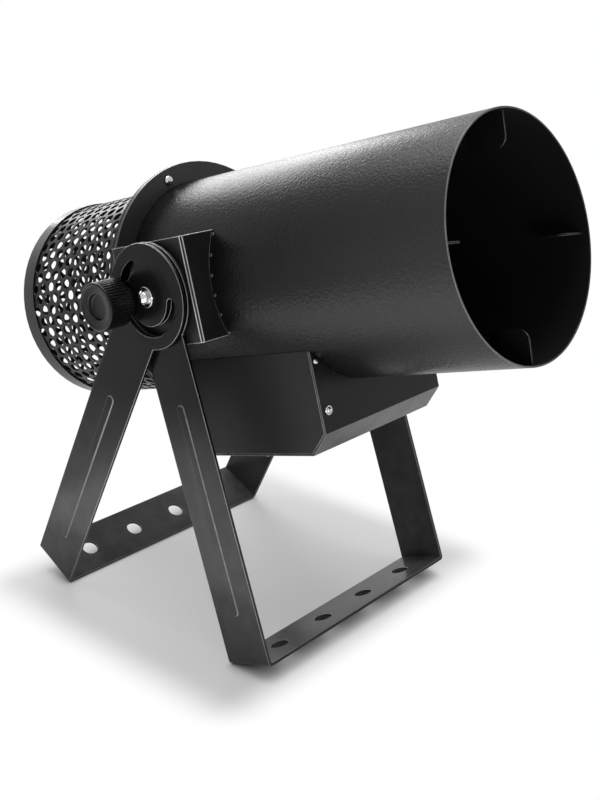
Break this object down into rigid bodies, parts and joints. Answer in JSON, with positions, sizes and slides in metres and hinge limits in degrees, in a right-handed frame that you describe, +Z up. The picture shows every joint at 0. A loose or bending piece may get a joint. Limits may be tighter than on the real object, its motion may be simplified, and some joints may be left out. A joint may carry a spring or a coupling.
{
  "type": "confetti blower",
  "caption": "Tilting confetti blower: wide black barrel with a fan in a perforated cage, on a scissor stand of two U-shaped yokes locked by knobs",
  "frame": {"origin": "on the floor, below the middle of the whole machine's bounding box", "axes": "+X to the machine's right seen from behind it, along the pivot axis; the muzzle points to -Y; +Z up"},
  "size_m": [0.3118, 0.5366, 0.466],
  "materials": {
    "black_texture": "black orange-peel powder coat",
    "black_satin": "satin black powder coat",
    "black_plastic": "moulded black",
    "chrome": "polished",
    "zinc": "zinc plated",
    "motor_metal": "dark enamel",
    "board_green": "green solder mask",
    "supply_case": "folded sheet",
    "display_glass": "dark window"
  },
  "bodies": {
    "rear_yoke": {"rear_yoke": "black_satin", "pivot_bolt_left": "chrome", "pivot_bolt_right": "chrome", "outer_washer_left": "zinc", "outer_washer_right": "zinc"},
    "front_yoke": {"front_yoke": "black_satin", "inner_washer_left": "zinc", "inner_washer_right": "zinc"},
    "fan": {"impeller": "black_plastic", "motor_shaft": "zinc"},
    "clamp_washer_left": {"clamp_washer_left": "zinc"},
    "clamp_knob_left": {"clamp_knob_left": "black_plastic", "clamp_stud_left": "zinc"},
    "clamp_washer_right": {"clamp_washer_right": "zinc"},
    "clamp_knob_right": {"clamp_knob_right": "black_plastic", "clamp_stud_right": "zinc"},
    "button_1": {"button_1": "black_plastic"},
    "button_2": {"button_2": "black_plastic"},
    "button_3": {"button_3": "black_plastic"},
    "button_4": {"button_4": "black_plastic"},
    "barrel": {"barrel_tube": "black_texture", "barrel_flange": "black_texture", "muzzle_fin_top": "black_texture", "muzzle_fin_right": "black_texture", "muzzle_fin_bottom": "black_texture", "muzzle_fin_left": "black_texture", "motor_plate": "black_texture", "side_bracket_left": "black_texture", "side_bracket_right": "black_texture", "loading_grid": "black_satin", "cage_sheet": "black_satin", "cage_end_ring": "black_satin", "cage_end_disc": "black_satin", "housing_side_left": "black_satin", "housing_side_right": "black_satin", "housing_wrap": "black_satin", "rear_panel": "black_satin", "signal_socket_in": "black_plastic", "signal_socket_out": "black_plastic", "power_inlet": "black_plastic", "flange_screw_1": "chrome", "flange_screw_2": "chrome", "flange_screw_3": "chrome", "flange_screw_4": "chrome", "flange_screw_5": "chrome", "flange_screw_6": "chrome", "housing_screw_1": "chrome", "housing_screw_2": "chrome", "housing_screw_3": "chrome", "housing_screw_4": "chrome", "clamp_nut_left": "zinc", "clamp_nut_right": "zinc", "board_spacer_1": "zinc", "board_spacer_2": "zinc", "board_spacer_3": "zinc", "board_spacer_4": "zinc", "motor_body": "motor_metal", "power_supply": "supply_case", "control_board": "board_green", "display_window": "display_glass"}
  },
  "joints": [
    {"name": "barrel_tilt", "type": "hinge", "parent": "rear_yoke", "child": "barrel", "pos_m": [0, 0.02846, 0.3058], "axis": [-1, 0, 0], "range_deg": [-12, 74.6]},
    {"name": "front_yoke_fold", "type": "hinge", "parent": "rear_yoke", "child": "front_yoke", "pos_m": [0, 0.02846, 0.3058], "axis": [-1, 0, 0], "range_deg": [-46, 10]},
    {"name": "fan_spin", "type": "hinge", "parent": "barrel", "child": "fan", "pos_m": [0, 0.02686, 0.30002], "axis": [0, -0.9641, 0.2656], "continuous": true},
    {"name": "clamp_travel_left", "type": "slide", "parent": "barrel", "child": "clamp_washer_left", "axis": [-1, 0, 0], "range_m": [0, 0.0025]},
    {"name": "clamp_turn_left", "type": "hinge", "parent": "clamp_washer_left", "child": "clamp_knob_left", "pos_m": [-0.142, 0.05641, 0.2981], "axis": [-1, 0, 0], "range_deg": [0, 720]},
    {"name": "clamp_travel_right", "type": "slide", "parent": "barrel", "child": "clamp_washer_right", "axis": [1, 0, 0], "range_m": [0, 0.0025]},
    {"name": "clamp_turn_right", "type": "hinge", "parent": "clamp_washer_right", "child": "clamp_knob_right", "pos_m": [0.142, 0.05641, 0.2981], "axis": [1, 0, 0], "range_deg": [0, 720]},
    {"name": "button_1_press", "type": "slide", "parent": "barrel", "child": "button_1", "axis": [-1, 0, 0], "range_m": [0, 0.001], "stiffness_N_per_m": 300},
    {"name": "button_2_press", "type": "slide", "parent": "barrel", "child": "button_2", "axis": [-1, 0, 0], "range_m": [0, 0.001], "stiffness_N_per_m": 300},
    {"name": "button_3_press", "type": "slide", "parent": "barrel", "child": "button_3", "axis": [-1, 0, 0], "range_m": [0, 0.001], "stiffness_N_per_m": 300},
    {"name": "button_4_press", "type": "slide", "parent": "barrel", "child": "button_4", "axis": [-1, 0, 0], "range_m": [0, 0.001], "stiffness_N_per_m": 300}
  ],
  "couplings": [
    {"joint": "clamp_turn_left", "follows": "clamp_travel_left", "rad_per_m": 5026.5},
    {"joint": "clamp_turn_right", "follows": "clamp_travel_right", "rad_per_m": 5026.5}
  ]
}
